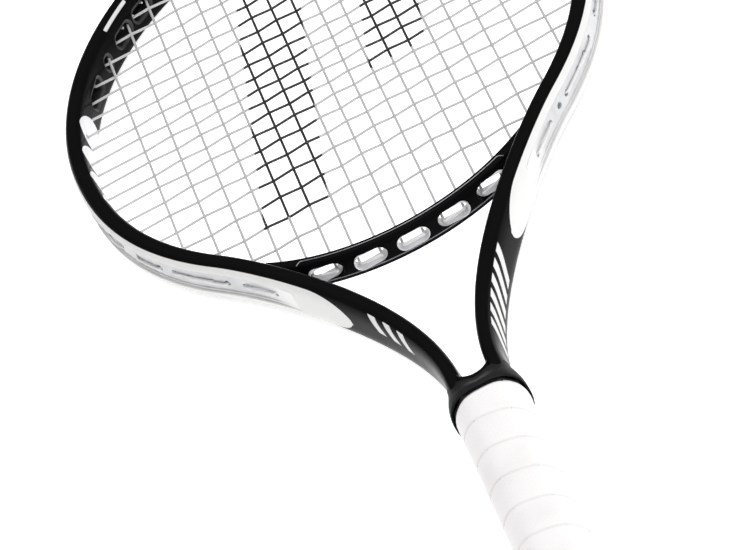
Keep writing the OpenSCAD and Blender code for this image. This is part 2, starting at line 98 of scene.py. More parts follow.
def unit(v):
    return v / np.linalg.norm(v, axis=-1, keepdims=True)


# ---- Middle line of the tube ----
def half_line():
    up = np.array([0, 1])
    lean = np.array([math.sin(SHOULDER_ANGLE), math.cos(SHOULDER_ANGLE)])
    end = np.array([HANDLE_X, HANDLE_TOP])
    widest = np.array([HOOP_HALF_W, HEAD_Y])
    straight = [[HANDLE_X, y] for y in np.linspace(TUBE_END_Y, HANDLE_TOP, 30, endpoint=False)]
    quarter = np.radians(np.linspace(0, 90, 131))
    return np.concatenate([
        straight,
        bezier(end, end + FOOT_DOWN * up, FOOT - FOOT_DOWN * up, FOOT, 18),
        bezier(FOOT, FOOT + FOOT_UP * up, SHOULDER - SHOULDER_DOWN * lean, SHOULDER, 100),
        bezier(SHOULDER, SHOULDER + SHOULDER_UP * lean, widest - WIDEST_PULL * up, widest, 78),
        np.stack([HOOP_HALF_W * np.cos(quarter), HEAD_Y + HOOP_B * np.sin(quarter)], axis=1)])


class Line:
    """The tube's middle, up the left side, over the tip and down the right side, with its outward side."""

    def __init__(self):
        right = half_line()
        self.right_count = len(right)
        self.at = np.concatenate([right[:-1] * [-1, 1], right[::-1]])
        step = np.diff(self.at, axis=0)
        heading = np.zeros_like(self.at)
        heading[1:-1] = unit(self.at[2:] - self.at[:-2])
        heading[0], heading[-1] = unit(step[0]), unit(step[-1])
        self.heading = heading
        self.outward = np.stack([-heading[:, 1], heading[:, 0]], axis=1)
        run = np.concatenate([[0], np.cumsum(np.linalg.norm(step, axis=1))])
        self.arc = run - run[self.right_count - 1]
        self.tree = KDTree(len(self.at))
        for i, (x, y) in enumerate(self.at):
            self.tree.insert((x, y, 0), i)
        self.tree.balance()

    def locate(self, xy):
        """For each point: distance along the line from the tip, and outward distance from its middle."""
        i = np.array([self.tree.find((x, y, 0))[1] for x, y in xy])
        away = xy - self.at[i]
        return (self.arc[i] + (away * self.heading[i]).sum(1), (away * self.outward[i]).sum(1))

    def head_half(self):
        """The right half, from the throat to the tip: (middle, outward side)."""
        last = len(self.at) - 1
        i = np.arange(last - 118, self.right_count - 2, -1)
        return self.at[i], self.outward[i]


LINE = Line()


def half_width(y):
    return lerp(FOOT_TUBE_W, TUBE_W, ramp(FOOT[1] + 5, FOOT[1] + 85, y)) / 2


def tube_shape(y):
    """Half width, half height and roundness of the tube at a height up the racket."""
    k = ramp(HANDLE_TOP, FOOT[1] + 10, y)
    return half_width(y), lerp(HANDLE_TUBE_H, TUBE_H, k) / 2, lerp(HANDLE_POWER, TUBE_POWER, k)


def channel_depth(y):
    return CHANNEL_D * ramp(348, 372, y)


RIDGE_Z = 9.7
WALL_DISH = 0.35


def tube_section(y):
    """[outward, height] points around the tube: the string channel with soft lips, then the rest."""
    half_w, half_h, power = tube_shape(y)
    edge = CHANNEL_W / 2
    lip = edge + np.array([-0.5, -0.4, -0.25, -0.05, 0.2, 0.5])
    side = np.concatenate([-lip[::-1], np.linspace(-edge + 1, edge - 1, 6), lip])
    depth = channel_depth(y) * (1 - ramp(edge - 0.45, edge + 0.45, np.abs(side)))
    outer = half_w * (1 - (np.abs(side) / half_h) ** power) ** (1 / power) - depth
    first = math.asin(((edge + 0.8) / half_h) ** (power / 2))
    angle = np.linspace(first, 2 * math.pi - first, 52)
    u = half_w * signed_power(np.cos(angle), 2 / power)
    v = half_h * signed_power(np.sin(angle), 2 / power)
    share = np.clip(np.abs(v) / RIDGE_Z, 0, 1)
    u = np.where(u < 0, u + WALL_DISH * np.sin(math.pi * share), u)
    return np.concatenate([np.stack([outer, side], axis=1), np.stack([u, v], axis=1)])


def ring_at(middle, outward, section):
    return np.column_stack([middle + outward * section[:, :1], section[:, 1]])


# ---- Mesh builders ----
def put(name, verts, faces, material, body=RACKET, slot=None, replaces=(), angle=35):
    """A new piece from points in millimetres, smooth but for edges sharper than the angle."""
    mesh = bpy.data.meshes.new(name)
    mesh.from_pydata((np.asarray(verts, float) * MM).tolist(), [], faces)
    bm = bmesh.new()
    bm.from_mesh(mesh)
    bmesh.ops.recalc_face_normals(bm, faces=bm.faces)
    bm.to_mesh(mesh)
    bm.free()
    piece = bpy.data.objects.new(name, mesh)
    bpy.context.scene.collection.objects.link(piece)
    if material:
        dress(piece, material, angle)
        own(piece, body, replaces)
    return piece


def dress(piece, material, angle=35):
    piece.data.materials.clear()
    piece.data.materials.append(material)
    piece.data.polygons.foreach_set("use_smooth", [True] * len(piece.data.polygons))
    piece.data.set_sharp_from_angle(angle=math.radians(angle))


def own(piece, body, replaces=()):
    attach(piece, body)
    if replaces:
        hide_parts(*replaces)


def grid_faces(rows, columns, around, along=False):
    """Quads over a grid of points. It may close around its columns, and along its rows."""
    faces = []
    for i in range(rows if along else rows - 1):
        a, b = i * columns, (i + 1) % rows * columns
        for j in range(columns if around else columns - 1):
            k = (j + 1) % columns
            faces.append((a + j, a + k, b + k, b + j))
    return faces


def skin(rings):
    """Points and faces of a closed skin through equal rings, with flat ends."""
    rings = np.asarray(rings)
    n, m = rings.shape[:2]
    faces = grid_faces(n, m, True)
    faces += [tuple(range(m)), tuple(range((n - 1) * m, n * m))[::-1]]
    return rings.reshape(-1, 3), faces


def hoop_skin(loops):
    """Points and faces of a ring of equal closed loops."""
    loops = np.asarray(loops)
    n, m = loops.shape[:2]
    return loops.reshape(-1, 3), grid_faces(n, m, True, True)


def joined(parts):
    """Several (points, faces) as one."""
    verts, faces, start = [], [], 0
    for v, f in parts:
        verts.append(np.asarray(v))
        faces += [tuple(k + start for k in face) for face in f]
        start += len(v)
    return np.concatenate(verts), faces


def tube(path, radius, sides=10):
    """A round rod along a path that never runs straight up."""
    path = np.asarray(path, float)
    step = np.gradient(path, axis=0)
    t = unit(step)
    side = unit(np.cross(t, [0, 0, 1]))
    over = np.cross(side, t)
    radius = np.broadcast_to(radius, len(path))
    angle = np.linspace(0, 2 * math.pi, sides, endpoint=False)
    rings = [p + r * (np.outer(np.cos(angle), s) + np.outer(np.sin(angle), o))
             for p, r, s, o in zip(path, radius, side, over)]
    return skin(rings)


def cut(piece, *cutters):
    """Takes the cutters out of the piece and deletes them."""
    for cutter in cutters:
        change = piece.modifiers.new("cut", "BOOLEAN")
        change.operation = "DIFFERENCE"
        change.solver = "MANIFOLD"
        change.object = cutter
    bpy.context.view_layer.update()
    graph = bpy.context.evaluated_depsgraph_get()
    mesh = bpy.data.meshes.new_from_object(piece.evaluated_get(graph))
    piece.modifiers.clear()
    piece.data = mesh
    for cutter in cutters:
        bpy.data.objects.remove(cutter)
    return piece


def tell(piece, **values):
    """Named numbers on the piece's points, for its material."""
    for name, value in values.items():
        layer = piece.data.attributes.new(name, "FLOAT", "POINT")
        layer.data.foreach_set("value", np.asarray(value, np.float32))


def points_of(piece):
    co = np.zeros(len(piece.data.vertices) * 3, np.float32)
    piece.data.vertices.foreach_get("co", co)
    return co.reshape(-1, 3) / MM


# ---- Strings: where they run ----
def main_x(m):
    u = m - 0.5
    return MAIN_PITCH * u + MAIN_GROWTH * u ** 5


def cross_at(c):
    v = c - 10
    return CROSS_Y + CROSS_PITCH * v + (CROSS_LOW * v ** 3 if v < 0 else CROSS_HIGH * v * v)


HEAD_AT, HEAD_OUT = LINE.head_half()
HEAD_WALL = HEAD_AT - HEAD_OUT * TUBE_W / 2
TIP_FROM = int(np.argmax(HEAD_AT[:, 0]))


class Place:
    """Where a string meets the tube: its middle and its outward side, on the right half."""

    def __init__(self, middle, outward):
        self.middle = np.asarray(middle, float)
        self.outward = unit(np.asarray(outward, float))

    def off(self, distance):
        return self.middle + self.outward * distance

    def mirrored(self):
        return Place(self.middle * [-1, 1], self.outward * [-1, 1])


def place_at(key, value, table):
    order = np.argsort(key[table])
    rows = np.arange(len(key))[table][order]
    return Place([np.interp(value, key[rows], HEAD_AT[rows, k]) for k in (0, 1)],
                 [np.interp(value, key[rows], HEAD_OUT[rows, k]) for k in (0, 1)])


def cross_place(c):
    return place_at(HEAD_WALL[:, 1], cross_at(c), slice(None))


def high_place(m):
    return place_at(HEAD_WALL[:, 0], main_x(m), slice(TIP_FROM, None))


def low_place(m):
    return place_at(HEAD_WALL[:, 0], main_x(m), slice(0, TIP_FROM + 1))


def bridge_arc(x, r):
    return np.array([x, BRIDGE_CENTRE[1] - math.sqrt(r * r - x * x)])


# ---- Ports ----
class Port:
    """A tunnel through the tube: a middle, an outward side and a length along the tube."""

    def __init__(self, a, b, margin=PORT_MARGIN):
        self.middle = (a.middle + b.middle) / 2
        self.outward = unit(a.outward + b.outward)
        self.length = np.linalg.norm(a.middle - b.middle) + margin

    def loop(self, depth, grow, count=14):
        """A round-ended outline at an outward distance, grown by some amount."""
        r = PORT_H / 2 + grow
        straight = (self.length - PORT_H) / 2
        half = np.radians(np.linspace(-90, 90, count))
        along = np.concatenate([straight + r * np.cos(half), -straight - r * np.cos(half)])
        high = np.concatenate([r * np.sin(half), -r * np.sin(half)])
        return self.lay(depth, along, high)

    def lay(self, depth, along, high):
        side = np.array([-self.outward[1], self.outward[0]])
        out = np.outer(np.broadcast_to(depth, np.shape(along)), self.outward)
        return np.column_stack([self.middle + out + np.outer(along, side), high])

    def mirrored(self):
        other = Port.__new__(Port)
        other.middle, other.outward, other.length = self.middle * [-1, 1], self.outward * [-1, 1], self.length
        return other


def both(ports):
    return list(ports) + [p.mirrored() for p in ports]


PAD_TOP_CROSS = 13
SIDE_PORTS = [Port(cross_place(c), cross_place(c + 1)) for c in range(3, PAD_TOP_CROSS + 1, 2)]
HIGH_PORTS = [Port(cross_place(15), cross_place(16))]
HIGH_PORTS += [Port(high_place(MAINS_HALF - i), cross_place(17 + i)) for i in range(4)]
LOW_PORTS = [Port(low_place(8), cross_place(1)), Port(low_place(9), cross_place(2)),
             Port(low_place(6), low_place(7))]
TIP_PORTS = [Port(high_place(1).mirrored(), high_place(1))]
TIP_PORTS += both([Port(high_place(m), high_place(m + 1)) for m in (2, 4)])


def bridge_port(i):
    x = i * MAIN_PITCH * 2
    port = Port.__new__(Port)
    port.middle = bridge_arc(x, BRIDGE_R + BRIDGE_T / 2)
    port.outward = np.array([0, -1])
    port.length = MAIN_PITCH + PORT_MARGIN - 1
    return port


BRIDGE_PORTS = [bridge_port(i) for i in range(-2, 3)]


def tunnel(port, stations):
    """A closed plug through stations of (outward distance, growth)."""
    return skin([port.loop(depth, grow) for depth, grow in stations])


# ---- Shader helpers ----
class Paint:
    """A material with a principled shader and short calls for its nodes."""

    def __init__(self, name, color=(0.5, 0.5, 0.5), roughness=0.5, **sockets):
        self.material = bpy.data.materials.new(name)
        self.material.use_nodes = True
        self.tree = self.material.node_tree
        self.shader = self.tree.nodes["Principled BSDF"]
        self.set("Base Color", (*color, 1))
        self.set("Roughness", roughness)
        for key, value in sockets.items():
            self.set(key.replace("_", " "), value)

    def set(self, socket, value):
        if isinstance(value, bpy.types.NodeSocket):
            self.tree.links.new(value, self.shader.inputs[socket])
        else:
            self.shader.inputs[socket].default_value = value

    def node(self, kind, inputs=None, **props):
        n = self.tree.nodes.new("ShaderNode" + kind)
        for key, value in props.items():
            setattr(n, key, value)
        for key, value in (inputs or {}).items():
            if isinstance(value, bpy.types.NodeSocket):
                self.tree.links.new(value, n.inputs[key])
            else:
                n.inputs[key].default_value = value
        return n

    def calc(self, operation, a, b=0.0, c=0.0, clamp=False):
        return self.node("Math", {0: a, 1: b, 2: c}, operation=operation, use_clamp=clamp).outputs[0]

    def value(self, name):
        return self.node("Attribute", attribute_name=name).outputs["Fac"]

    def place(self):
        """Position on the piece at rest, in metres."""
        return self.node("TexCoord").outputs["Object"]

    def noise(self, size, detail=2.0):
        """Noise from 0 to 1 with features of about that size in millimetres."""
        n = self.node("TexNoise", {"Vector": self.place(), "Scale": 1 / (size * MM), "Detail": detail})
        return n.outputs["Fac"]

    def mix(self, factor, a, b):
        n = self.node("Mix", data_type="RGBA")
        for key, value in ((0, factor), (6, a), (7, b)):
            if isinstance(value, bpy.types.NodeSocket):
                self.tree.links.new(value, n.inputs[key])
            else:
                n.inputs[key].default_value = (*value, 1) if isinstance(value, tuple) else value
        return n.outputs[2]

    def span(self, value, low, high):
        """From 0 at low to 1 at high."""
        n = self.node("MapRange", {"Value": value, "From Min": low, "From Max": high})
        return n.outputs["Result"]

    def inside(self, value, low, high, soft=0.1):
        """1 between low and high, with a soft edge."""
        middle, half = (low + high) / 2, (high - low) / 2
        away = self.calc("ABSOLUTE", self.calc("SUBTRACT", value, middle))
        return self.calc("DIVIDE", self.calc("SUBTRACT", half, away), soft, clamp=True)

    def bump(self, height, strength, distance, under=None):
        inputs = {"Height": height, "Strength": strength, "Distance": distance * MM}
        if under:
            inputs["Normal"] = under
        return self.node("Bump", inputs).outputs["Normal"]

    def all_of(self, *masks):
        result = masks[0]
        for mask in masks[1:]:
            result = self.calc("MULTIPLY", result, mask)
        return result

    def any_of(self, *masks):
        result = masks[0]
        for mask in masks[1:]:
            result = self.calc("MAXIMUM", result, mask)
        return result


# ---- Materials ----
NEAR_BLACK = (0.004, 0.004, 0.0045)
PAINT_WHITE = (0.80, 0.80, 0.79)


def lacquer(name, painted):
    """Glossy near-black lacquer, and white where the paint distance is above 0 or a mark lies."""
    p = Paint(name, NEAR_BLACK, 0.2, IOR=1.07)
    cloud = p.noise(18, 3)
    black = p.mix(cloud, NEAR_BLACK, (0.0065, 0.006, 0.006))
    if painted:
        white = p.calc("ADD", p.calc("DIVIDE", p.value("paint"), 0.18), 0.5, clamp=True)
        mask = p.any_of(white, *marks(p))
        chalk = p.mix(p.noise(30, 3), PAINT_WHITE, (0.74, 0.74, 0.73))
        p.set("Base Color", p.mix(mask, black, chalk))
        wear = p.span(p.noise(9, 6), 0.35, 0.75)
        p.set("Roughness", p.calc("MULTIPLY_ADD", wear, 0.12, p.calc("MULTIPLY_ADD", mask, 0.12, 0.16)))
    else:
        p.set("Base Color", black)
        p.set("Roughness", p.calc("MULTIPLY_ADD", p.noise(9, 6), 0.14, 0.14))
    orange_peel = p.bump(p.noise(1.6, 2), 0.12, 0.05)
    p.set("Normal", p.bump(p.noise(0.25, 5), 0.08, 0.02, orange_peel))
    return p.material


# slanted bars: side, low end, pitch, share filled, how many, and from where to where around the tube
BARS = [(1, 254, 9.5, 0.6, 6, 6.4, 21.5), (-1, 276, 11.0, 0.5, 3, 5.0, 14.5)]
BAR_SLANT = 0.7
DASH_ARC, DASH_HALF, DASH_OUT, DASH_R = 103, 11, -3.3, 0.7


def marks(p):
    """Plain generic marks: slanted bars on the shafts and a rounded bar on the face near the tip."""
    arc, around, out, high = p.value("arc"), p.value("around"), p.value("out"), p.value("high")
    split = p.node("SeparateXYZ", {0: p.place()})
    stripes = []
    for side, low, pitch, duty, count, near, far in BARS:
        slant = p.calc("MULTIPLY_ADD", around, BAR_SLANT, p.calc("DIVIDE", split.outputs[1], MM))
        local = p.calc("DIVIDE", p.calc("SUBTRACT", slant, low), pitch)
        in_bar = p.inside(p.calc("FRACT", local), 0.0, duty, 0.02)
        on_side = p.calc("GREATER_THAN", p.calc("MULTIPLY", split.outputs[0], side), 0.0)
        extent = p.all_of(p.inside(local, 0, count, 0.01), p.inside(around, near, far))
        stripes.append(p.all_of(in_bar, extent, on_side))
    from_middle = p.calc("ABSOLUTE", p.calc("SUBTRACT", p.calc("ABSOLUTE", arc), DASH_ARC))
    ends = p.calc("MAXIMUM", p.calc("SUBTRACT", from_middle, DASH_HALF), 0.0)
    across = p.calc("SUBTRACT", out, DASH_OUT)
    reach = p.calc("SQRT", p.calc("ADD", p.calc("MULTIPLY", ends, ends), p.calc("MULTIPLY", across, across)))
    dash = p.calc("DIVIDE", p.calc("SUBTRACT", DASH_R, reach), 0.15, clamp=True)
    on_face = p.inside(high, 0.7 * RIDGE_Z, TUBE_H)
    stripes.append(p.all_of(dash, on_face))
    return stripes


def moulded(name, color, roughness=0.45, grain=0.5, pale_end=None):
    """Moulded plastic with a fine grain and faint flow marks. It may turn white towards a low end."""
    p = Paint(name, color, roughness)
    tone = p.mix(p.span(p.noise(14, 4), 0.35, 0.7), color, tuple(0.82 * c for c in color))
    if pale_end:
        y = p.node("SeparateXYZ", {0: p.place()}).outputs[1]
        tone = p.mix(p.span(y, pale_end * MM, (pale_end + 26) * MM), PAINT_WHITE, tone)
    p.set("Base Color", tone)
    p.set("Roughness", p.calc("MULTIPLY_ADD", p.noise(5, 4), 0.2, roughness - 0.1))
    p.set("Normal", p.bump(p.noise(0.3 * grain + 0.15, 3), 0.35, 0.06))
    return p.material


STRING_COLOR = (0.555, 0.555, 0.555)
# A lighter copy of the string colour for the loops in the channel: painted light that cancels the shade the
# loops sit in.
PAINTED_LIGHT_TURN_COLOR = (0.78, 0.78, 0.78)
INK_COLOR = (0.010, 0.010, 0.011)
# stencilled bars on the strings: x at the low end, low end, high end and half width
STENCIL = [(-44.0, 413.5, 606, 16.8), (29.4, 494, 590, 15.0)]
STENCIL_SLANT = 0.155


def string_material(name, color):
    """Silver-white string with a twisted skin, and black ink over the stencilled stretches."""
    p = Paint(name, color, 0.32, Specular_IOR_Level=0.5, Subsurface_Weight=0.08)
    p.set("Subsurface Radius", (0.6, 0.6, 0.5))
    p.set("Subsurface Scale", 0.5 * MM)
    split = p.node("SeparateXYZ", {0: p.place()})
    x, y = split.outputs[0], split.outputs[1]
    rough_edge = p.calc("MULTIPLY", p.calc("SUBTRACT", p.noise(1.5, 2), 0.5), 1.2 * MM)
    ink = []
    for x_low, y_low, y_high, half in STENCIL:
        middle = p.calc("MULTIPLY_ADD", y, STENCIL_SLANT, (x_low - STENCIL_SLANT * y_low) * MM)
        across = p.calc("ADD", p.calc("SUBTRACT", x, middle), rough_edge)
        ink.append(p.all_of(p.inside(across, -half * MM, half * MM, 0.4 * MM),
                            p.inside(p.calc("ADD", y, rough_edge), y_low * MM, y_high * MM, 0.4 * MM)))
    cover = p.calc("MULTIPLY", p.any_of(*ink), p.span(p.noise(0.8, 3), 0.22, 0.36))
    tone = p.mix(p.noise(12, 3), color, tuple(0.86 * c for c in color))
    p.set("Base Color", p.mix(cover, tone, INK_COLOR))
    p.set("Roughness", p.calc("MULTIPLY_ADD", cover, 0.2, 0.32))
    twist = p.node("TexWave", {"Vector": p.place(), "Scale": 420, "Distortion": 0.6},
                   wave_type="BANDS", bands_direction="DIAGONAL")
    p.set("Normal", p.bump(twist.outputs["Fac"], 0.25, 0.03, p.bump(p.noise(0.35, 2), 0.2, 0.03)))
    return p.material


def rubber_material():
    p = Paint("collar_rubber", (0.012, 0.012, 0.013), 0.6, IOR=1.18)
    p.set("Base Color", p.mix(p.noise(6, 5), (0.009, 0.009, 0.0095), (0.02, 0.0195, 0.0195)))
    p.set("Roughness", p.calc("MULTIPLY_ADD", p.noise(3, 5), 0.25, 0.42))
    p.set("Normal", p.bump(p.noise(0.4, 4), 0.4, 0.08, p.bump(p.noise(5, 2), 0.15, 0.2)))
    return p.material


PITCH_Y = 22.45
HOLE_PITCH = 3.4


def grip_material():
    """White synthetic leather: rows of small holes, soft creases, a faint grain and handling marks, with
    painted shade in the holes and along the lap seams.
    """
    p = Paint("grip_leather", (0.92, 0.905, 0.9), 0.6, Sheen_Weight=0.15, Specular_IOR_Level=0.3)
    along, turn = p.value("strip_along"), p.value("strip_across")

    def in_cell(value, shift):
        cell = p.calc("FRACT", p.calc("ADD", p.calc("DIVIDE", value, HOLE_PITCH), shift))
        return p.calc("SUBTRACT", cell, 0.5)
    holes = []
    for shift in (0.0, 0.5):
        a, b = in_cell(along, shift), in_cell(turn, shift)
        away = p.calc("SQRT", p.calc("ADD", p.calc("MULTIPLY", a, a), p.calc("MULTIPLY", b, b)))
        holes.append(p.span(away, 0.13, 0.09))
    hole = p.calc("MULTIPLY", p.any_of(*holes), p.inside(turn, 4.5, PITCH_Y - 4.5, 0.3))
    grubby = p.span(p.noise(22, 5), 0.45, 0.8)
    base = p.mix(grubby, (0.93, 0.912, 0.908), (0.87, 0.845, 0.842))
    # Painted shade: the base colour darkens along each lap's edge, in the groove between laps.
    seam = p.any_of(p.span(turn, 1.1, 0.2), p.span(turn, PITCH_Y - 0.9, PITCH_Y - 0.2))
    base = p.mix(p.calc("MULTIPLY", seam, 0.6), base, (0.68, 0.65, 0.65))
    # Painted shade: the base colour darkens a little in each hole.
    p.set("Base Color", p.mix(p.calc("MULTIPLY", hole, 0.08), base, (0.5, 0.48, 0.48)))
    p.set("Roughness", p.calc("MULTIPLY_ADD", p.noise(4, 4), 0.2, 0.5))
    creases = p.bump(p.noise(1.1, 6), 0.22, 0.12, p.bump(p.noise(7, 3), 0.18, 0.5))
    pits = p.bump(p.calc("SUBTRACT", 1.0, hole), 0.2, 0.15, creases)
    p.set("Normal", p.bump(p.noise(0.22, 3), 0.15, 0.05, pits))
    return p.material


def foam_material():
    p = Paint("cut_foam", (0.6, 0.55, 0.42), 0.9)
    cell = p.node("TexVoronoi", {"Vector": p.place(), "Scale": 1400.0})
    p.set("Base Color", p.mix(cell.outputs["Distance"], (0.45, 0.4, 0.3), (0.66, 0.61, 0.49)))
    p.set("Normal", p.bump(cell.outputs["Distance"], 0.8, 0.3))
    return p.material


def wire_material():
    p = Paint("drawn_wire", (0.62, 0.63, 0.65), 0.28, Metallic=1.0)
    lengthways = p.node("Mapping", {"Vector": p.place(), "Scale": (200, 9000, 9000)}).outputs[0]
    draw = p.node("TexNoise", {"Vector": lengthways, "Scale": 1.0, "Detail": 4.0})
    p.set("Roughness", p.calc("MULTIPLY_ADD", draw.outputs["Fac"], 0.25, 0.18))
    p.set("Normal", p.bump(draw.outputs["Fac"], 0.2, 0.02))
    return p.material


def tape_material():
    p = Paint("woven_tape", (0.03, 0.03, 0.032), 0.75)
    weave = p.node("TexWave", {"Vector": p.place(), "Scale": 900.0}, wave_type="BANDS", bands_direction="Y")
    weft = p.node("TexWave", {"Vector": p.place(), "Scale": 900.0}, wave_type="BANDS", bands_direction="X")
    cloth = p.calc("MULTIPLY", weave.outputs["Fac"], weft.outputs["Fac"])
    p.set("Base Color", p.mix(cloth, (0.02, 0.02, 0.022), (0.05, 0.05, 0.052)))
    p.set("Normal", p.bump(cloth, 0.6, 0.08))
    return p.material


# ---- Camera, floor and light ----
def camera():
    right = Vector((0.88095415, -0.22493579, -0.41632159))
    down = Vector((-0.47069461, -0.50698528, -0.72208899))
    ahead = Vector((-0.04864526, 0.83208763, -0.55250685))
    data = bpy.data.cameras.new("camera")
    data.sensor_width = 36
    data.lens = 267.64
    data.clip_start, data.clip_end = 0.05, 100
    cam = bpy.data.objects.new("camera", data)
    spin = Matrix((right, -down, -ahead)).transposed().to_4x4()
    cam.matrix_world = Matrix.Translation(Vector((91.82, -1675.6, 1340.0)) * MM) @ spin
    bpy.context.scene.collection.objects.link(cam)
    bpy.context.scene.camera = cam


FLOOR_GLOW = 0.8


def floor():
    """A pale floor that the butt's rim and the hoop's tip both rest on."""
    low_butt, low_tip = -BUTT_HALF_T, -TUBE_H / 2
    slope = math.atan2(low_tip - low_butt, RACKET_LEN - TUBE_W)
    size = 12000
    verts = [(x, y, 0) for x in (-size, size) for y in (-size, size)]
    p = Paint("floor_paint", (0.93, 0.93, 0.93), 0.9, Specular_IOR_Level=0.1)
    p.set("Emission Color", (1, 1, 1, 1))
    p.set("Emission Strength", FLOOR_GLOW)
    mesh = bpy.data.meshes.new("floor")
    mesh.from_pydata((np.array(verts) * MM).tolist(), [], [(0, 2, 3, 1)])
    plane = bpy.data.objects.new("floor", mesh)
    plane.data.materials.append(p.material)
    plane.matrix_world = Matrix.Translation((0, 0, (low_butt - 0.12) * MM)) @ Matrix.Rotation(slope, 4, "X")
    bpy.context.scene.collection.objects.link(plane)


def area_light(name, at, toward, size, power):
    data = bpy.data.lights.new(name, "AREA")
    data.shape = "RECTANGLE"
    data.size, data.size_y = size
    data.energy = power
    lamp = bpy.data.objects.new(name, data)
    lamp.location = at
    lamp.rotation_euler = (Vector(toward) - Vector(at)).to_track_quat("-Z", "Y").to_euler()
    bpy.context.scene.collection.objects.link(lamp)


def lights():
    world = bpy.data.worlds.new("studio")
    bpy.context.scene.world = world
    world.use_nodes = True
    tree = world.node_tree
    back = tree.nodes["Background"]
    split = tree.nodes.new("ShaderNodeSeparateXYZ")
    where = tree.nodes.new("ShaderNodeTexCoord")
    fade = tree.nodes.new("ShaderNodeMapRange")
    tree.links.new(where.outputs["Generated"], split.inputs[0])
    tree.links.new(split.outputs[2], fade.inputs["Value"])
    fade.inputs["From Min"].default_value = 0.45
    fade.inputs["From Max"].default_value = 0.95
    fade.inputs["To Min"].default_value = 0.12
    fade.inputs["To Max"].default_value = 0.75
    tree.links.new(fade.outputs["Result"], back.inputs["Strength"])
    back.inputs["Color"].default_value = (1, 1, 1, 1)
    middle = (0, 0.4, 0)
    area_light("overhead", (0.2, 0.3, 1.7), middle, (1.6, 1.6), 19)
    area_light("right_fill", (1.6, -0.4, 1.1), middle, (1.2, 1.2), 8.5)
    area_light("front_fill", (-0.3, -1.5, 1.2), (0, 0.2, 0), (1.2, 0.8), 3)
    bpy.context.scene.view_settings.view_transform = "Standard"


# ---- The frame ----
INNER_PAINT = -1.5


def paint_distance(along_y, out, high):
    """Millimetres into the white paint: the outer side walls, and the inner wall behind the side pads."""
    tip, start = 315, 341
    reach = np.clip((start - along_y) / (start - tip), 0, 1)
    outer_edge = RIDGE_Z * np.sqrt(1 - reach ** 2)
    outer = np.where(along_y > tip, outer_edge - np.abs(high), along_y - tip)
    inner_end = 388
    middle, half = (INNER_PAINT - RIDGE_Z) / 2, (INNER_PAINT + RIDGE_Z) / 2
    taper = np.sqrt(np.clip((along_y - inner_end) / 16, 0, 1))
    inner = half * taper - np.abs(high - middle) - np.where(along_y > inner_end, 0, 3)
    inner = np.minimum(inner, PADS[0][1] - along_y)
    return np.where(out > 0, outer, inner)


def paint_piece(piece):
    at = points_of(piece)
    arc, out = LINE.locate(at[:, :2])
    half_h = tube_shape(at[:, 1])[1]
    around = np.sign(out) * (np.abs(out) + half_h - at[:, 2])
    tell(piece, paint=paint_distance(at[:, 1], out, at[:, 2]), arc=arc, around=around, out=out,
         high=at[:, 2])


def hollow_rings():
    """The space inside each shaft, from its open end up to the shoulder."""
    right = half_line()
    count = int(np.argmax(right[:, 1] > HOLLOW_TOP))
    middle = right[:count].copy()
    middle[0, 1] -= 1
    heading = unit(np.gradient(middle, axis=0))
    outward = np.stack([heading[:, 1], -heading[:, 0]], axis=1)
    angle = np.linspace(0, 2 * math.pi, 24, endpoint=False)
    rings = []
    for m, o in zip(middle, outward):
        half_w, half_h, power = tube_shape(m[1])
        section = np.column_stack([(half_w - TUBE_WALL) * signed_power(np.cos(angle), 2 / power),
                                   (half_h - TUBE_WALL) * signed_power(np.sin(angle), 2 / power)])
        rings.append(ring_at(m, o, section))
    return np.array(rings)


MOUTH = [(-9, 2.6), (-5.9, 1.5), (-5.2, 0.9), (-4.4, 0.25), (-3.6, 0), (9, 0)]
POCKET = [(-1.2, 0), (9, 0)]


def frame_tube(material):
    rings = [ring_at(LINE.at[i], LINE.outward[i], tube_section(LINE.at[i][1])) for i in range(len(LINE.at))]
    verts, faces = skin(rings)
    piece = put("hoop_and_shafts", verts, faces, None)
    plugs = [tunnel(p, MOUTH) for p in both(HIGH_PORTS + LOW_PORTS) + TIP_PORTS]
    plugs += [tunnel(p, POCKET) for p in both(SIDE_PORTS)]
    plugs += [pad_pocket(*pad, side) for pad in PADS for side in (-1, 1)]
    hollow = hollow_rings()
    plugs += [skin(hollow), skin(hollow * [-1, 1, 1])]
    cut(piece, put("cutter", *joined(plugs), None))
    dress(piece, material, 32)
    own(piece, RACKET, FRAME_NODES)
    paint_piece(piece)


# ---- White side pads: one for each odd cross string, almost meeting at the even ones ----
PADS = [(cross_at(c - 1), cross_at(c + 1)) for c in range(PAD_TOP_CROSS, 2, -2)]
PAD_HALF_H = 9.9
PAD_POWER = 1.75
PAD_DEPTH = 2.1


def pad_point(low, high, side, radius, angle, sink):
    """Points on a pad: radius is 0 in its middle and 1 at its rim, and sink is the depth under the wall."""
    middle_y, half = (low + high) / 2, (high - low) * 0.47
    y = middle_y + radius * half * signed_power(np.cos(angle), 2 / PAD_POWER)
    z = radius * PAD_HALF_H * signed_power(np.sin(angle), 2 / PAD_POWER)
    i = np.argsort(HEAD_WALL[:TIP_FROM + 60, 1])
    key = HEAD_WALL[i, 1]
    middle = np.column_stack([np.interp(y, key, HEAD_AT[i, k]) for k in (0, 1)])
    outward = unit(np.column_stack([np.interp(y, key, HEAD_OUT[i, k]) for k in (0, 1)]))
    wall = TUBE_W / 2 * (1 - (np.abs(z) / (TUBE_H / 2)) ** TUBE_POWER) ** (1 / TUBE_POWER)
    wall = wall - WALL_DISH * np.sin(math.pi * np.clip(np.abs(z) / RIDGE_Z, 0, 1))
    flat = middle - outward * (wall - sink)[:, None]
    return np.column_stack([flat[:, 0] * side, flat[:, 1], z])


def pad_rings(low, high, side, profile, count=48):
    angle = np.linspace(0, 2 * math.pi, count, endpoint=False)
    return [pad_point(low, high, side, np.full(count, r), angle, np.full(count, float(s)))
            for r, s in profile]


def pad_pocket(low, high, side):
    return skin(pad_rings(low, high, side, [(0.02, -3), (0.985, -3), (0.985, 0.0), (0.9, PAD_DEPTH + 0.6),
                                            (0.02, PAD_DEPTH + 0.6)]))


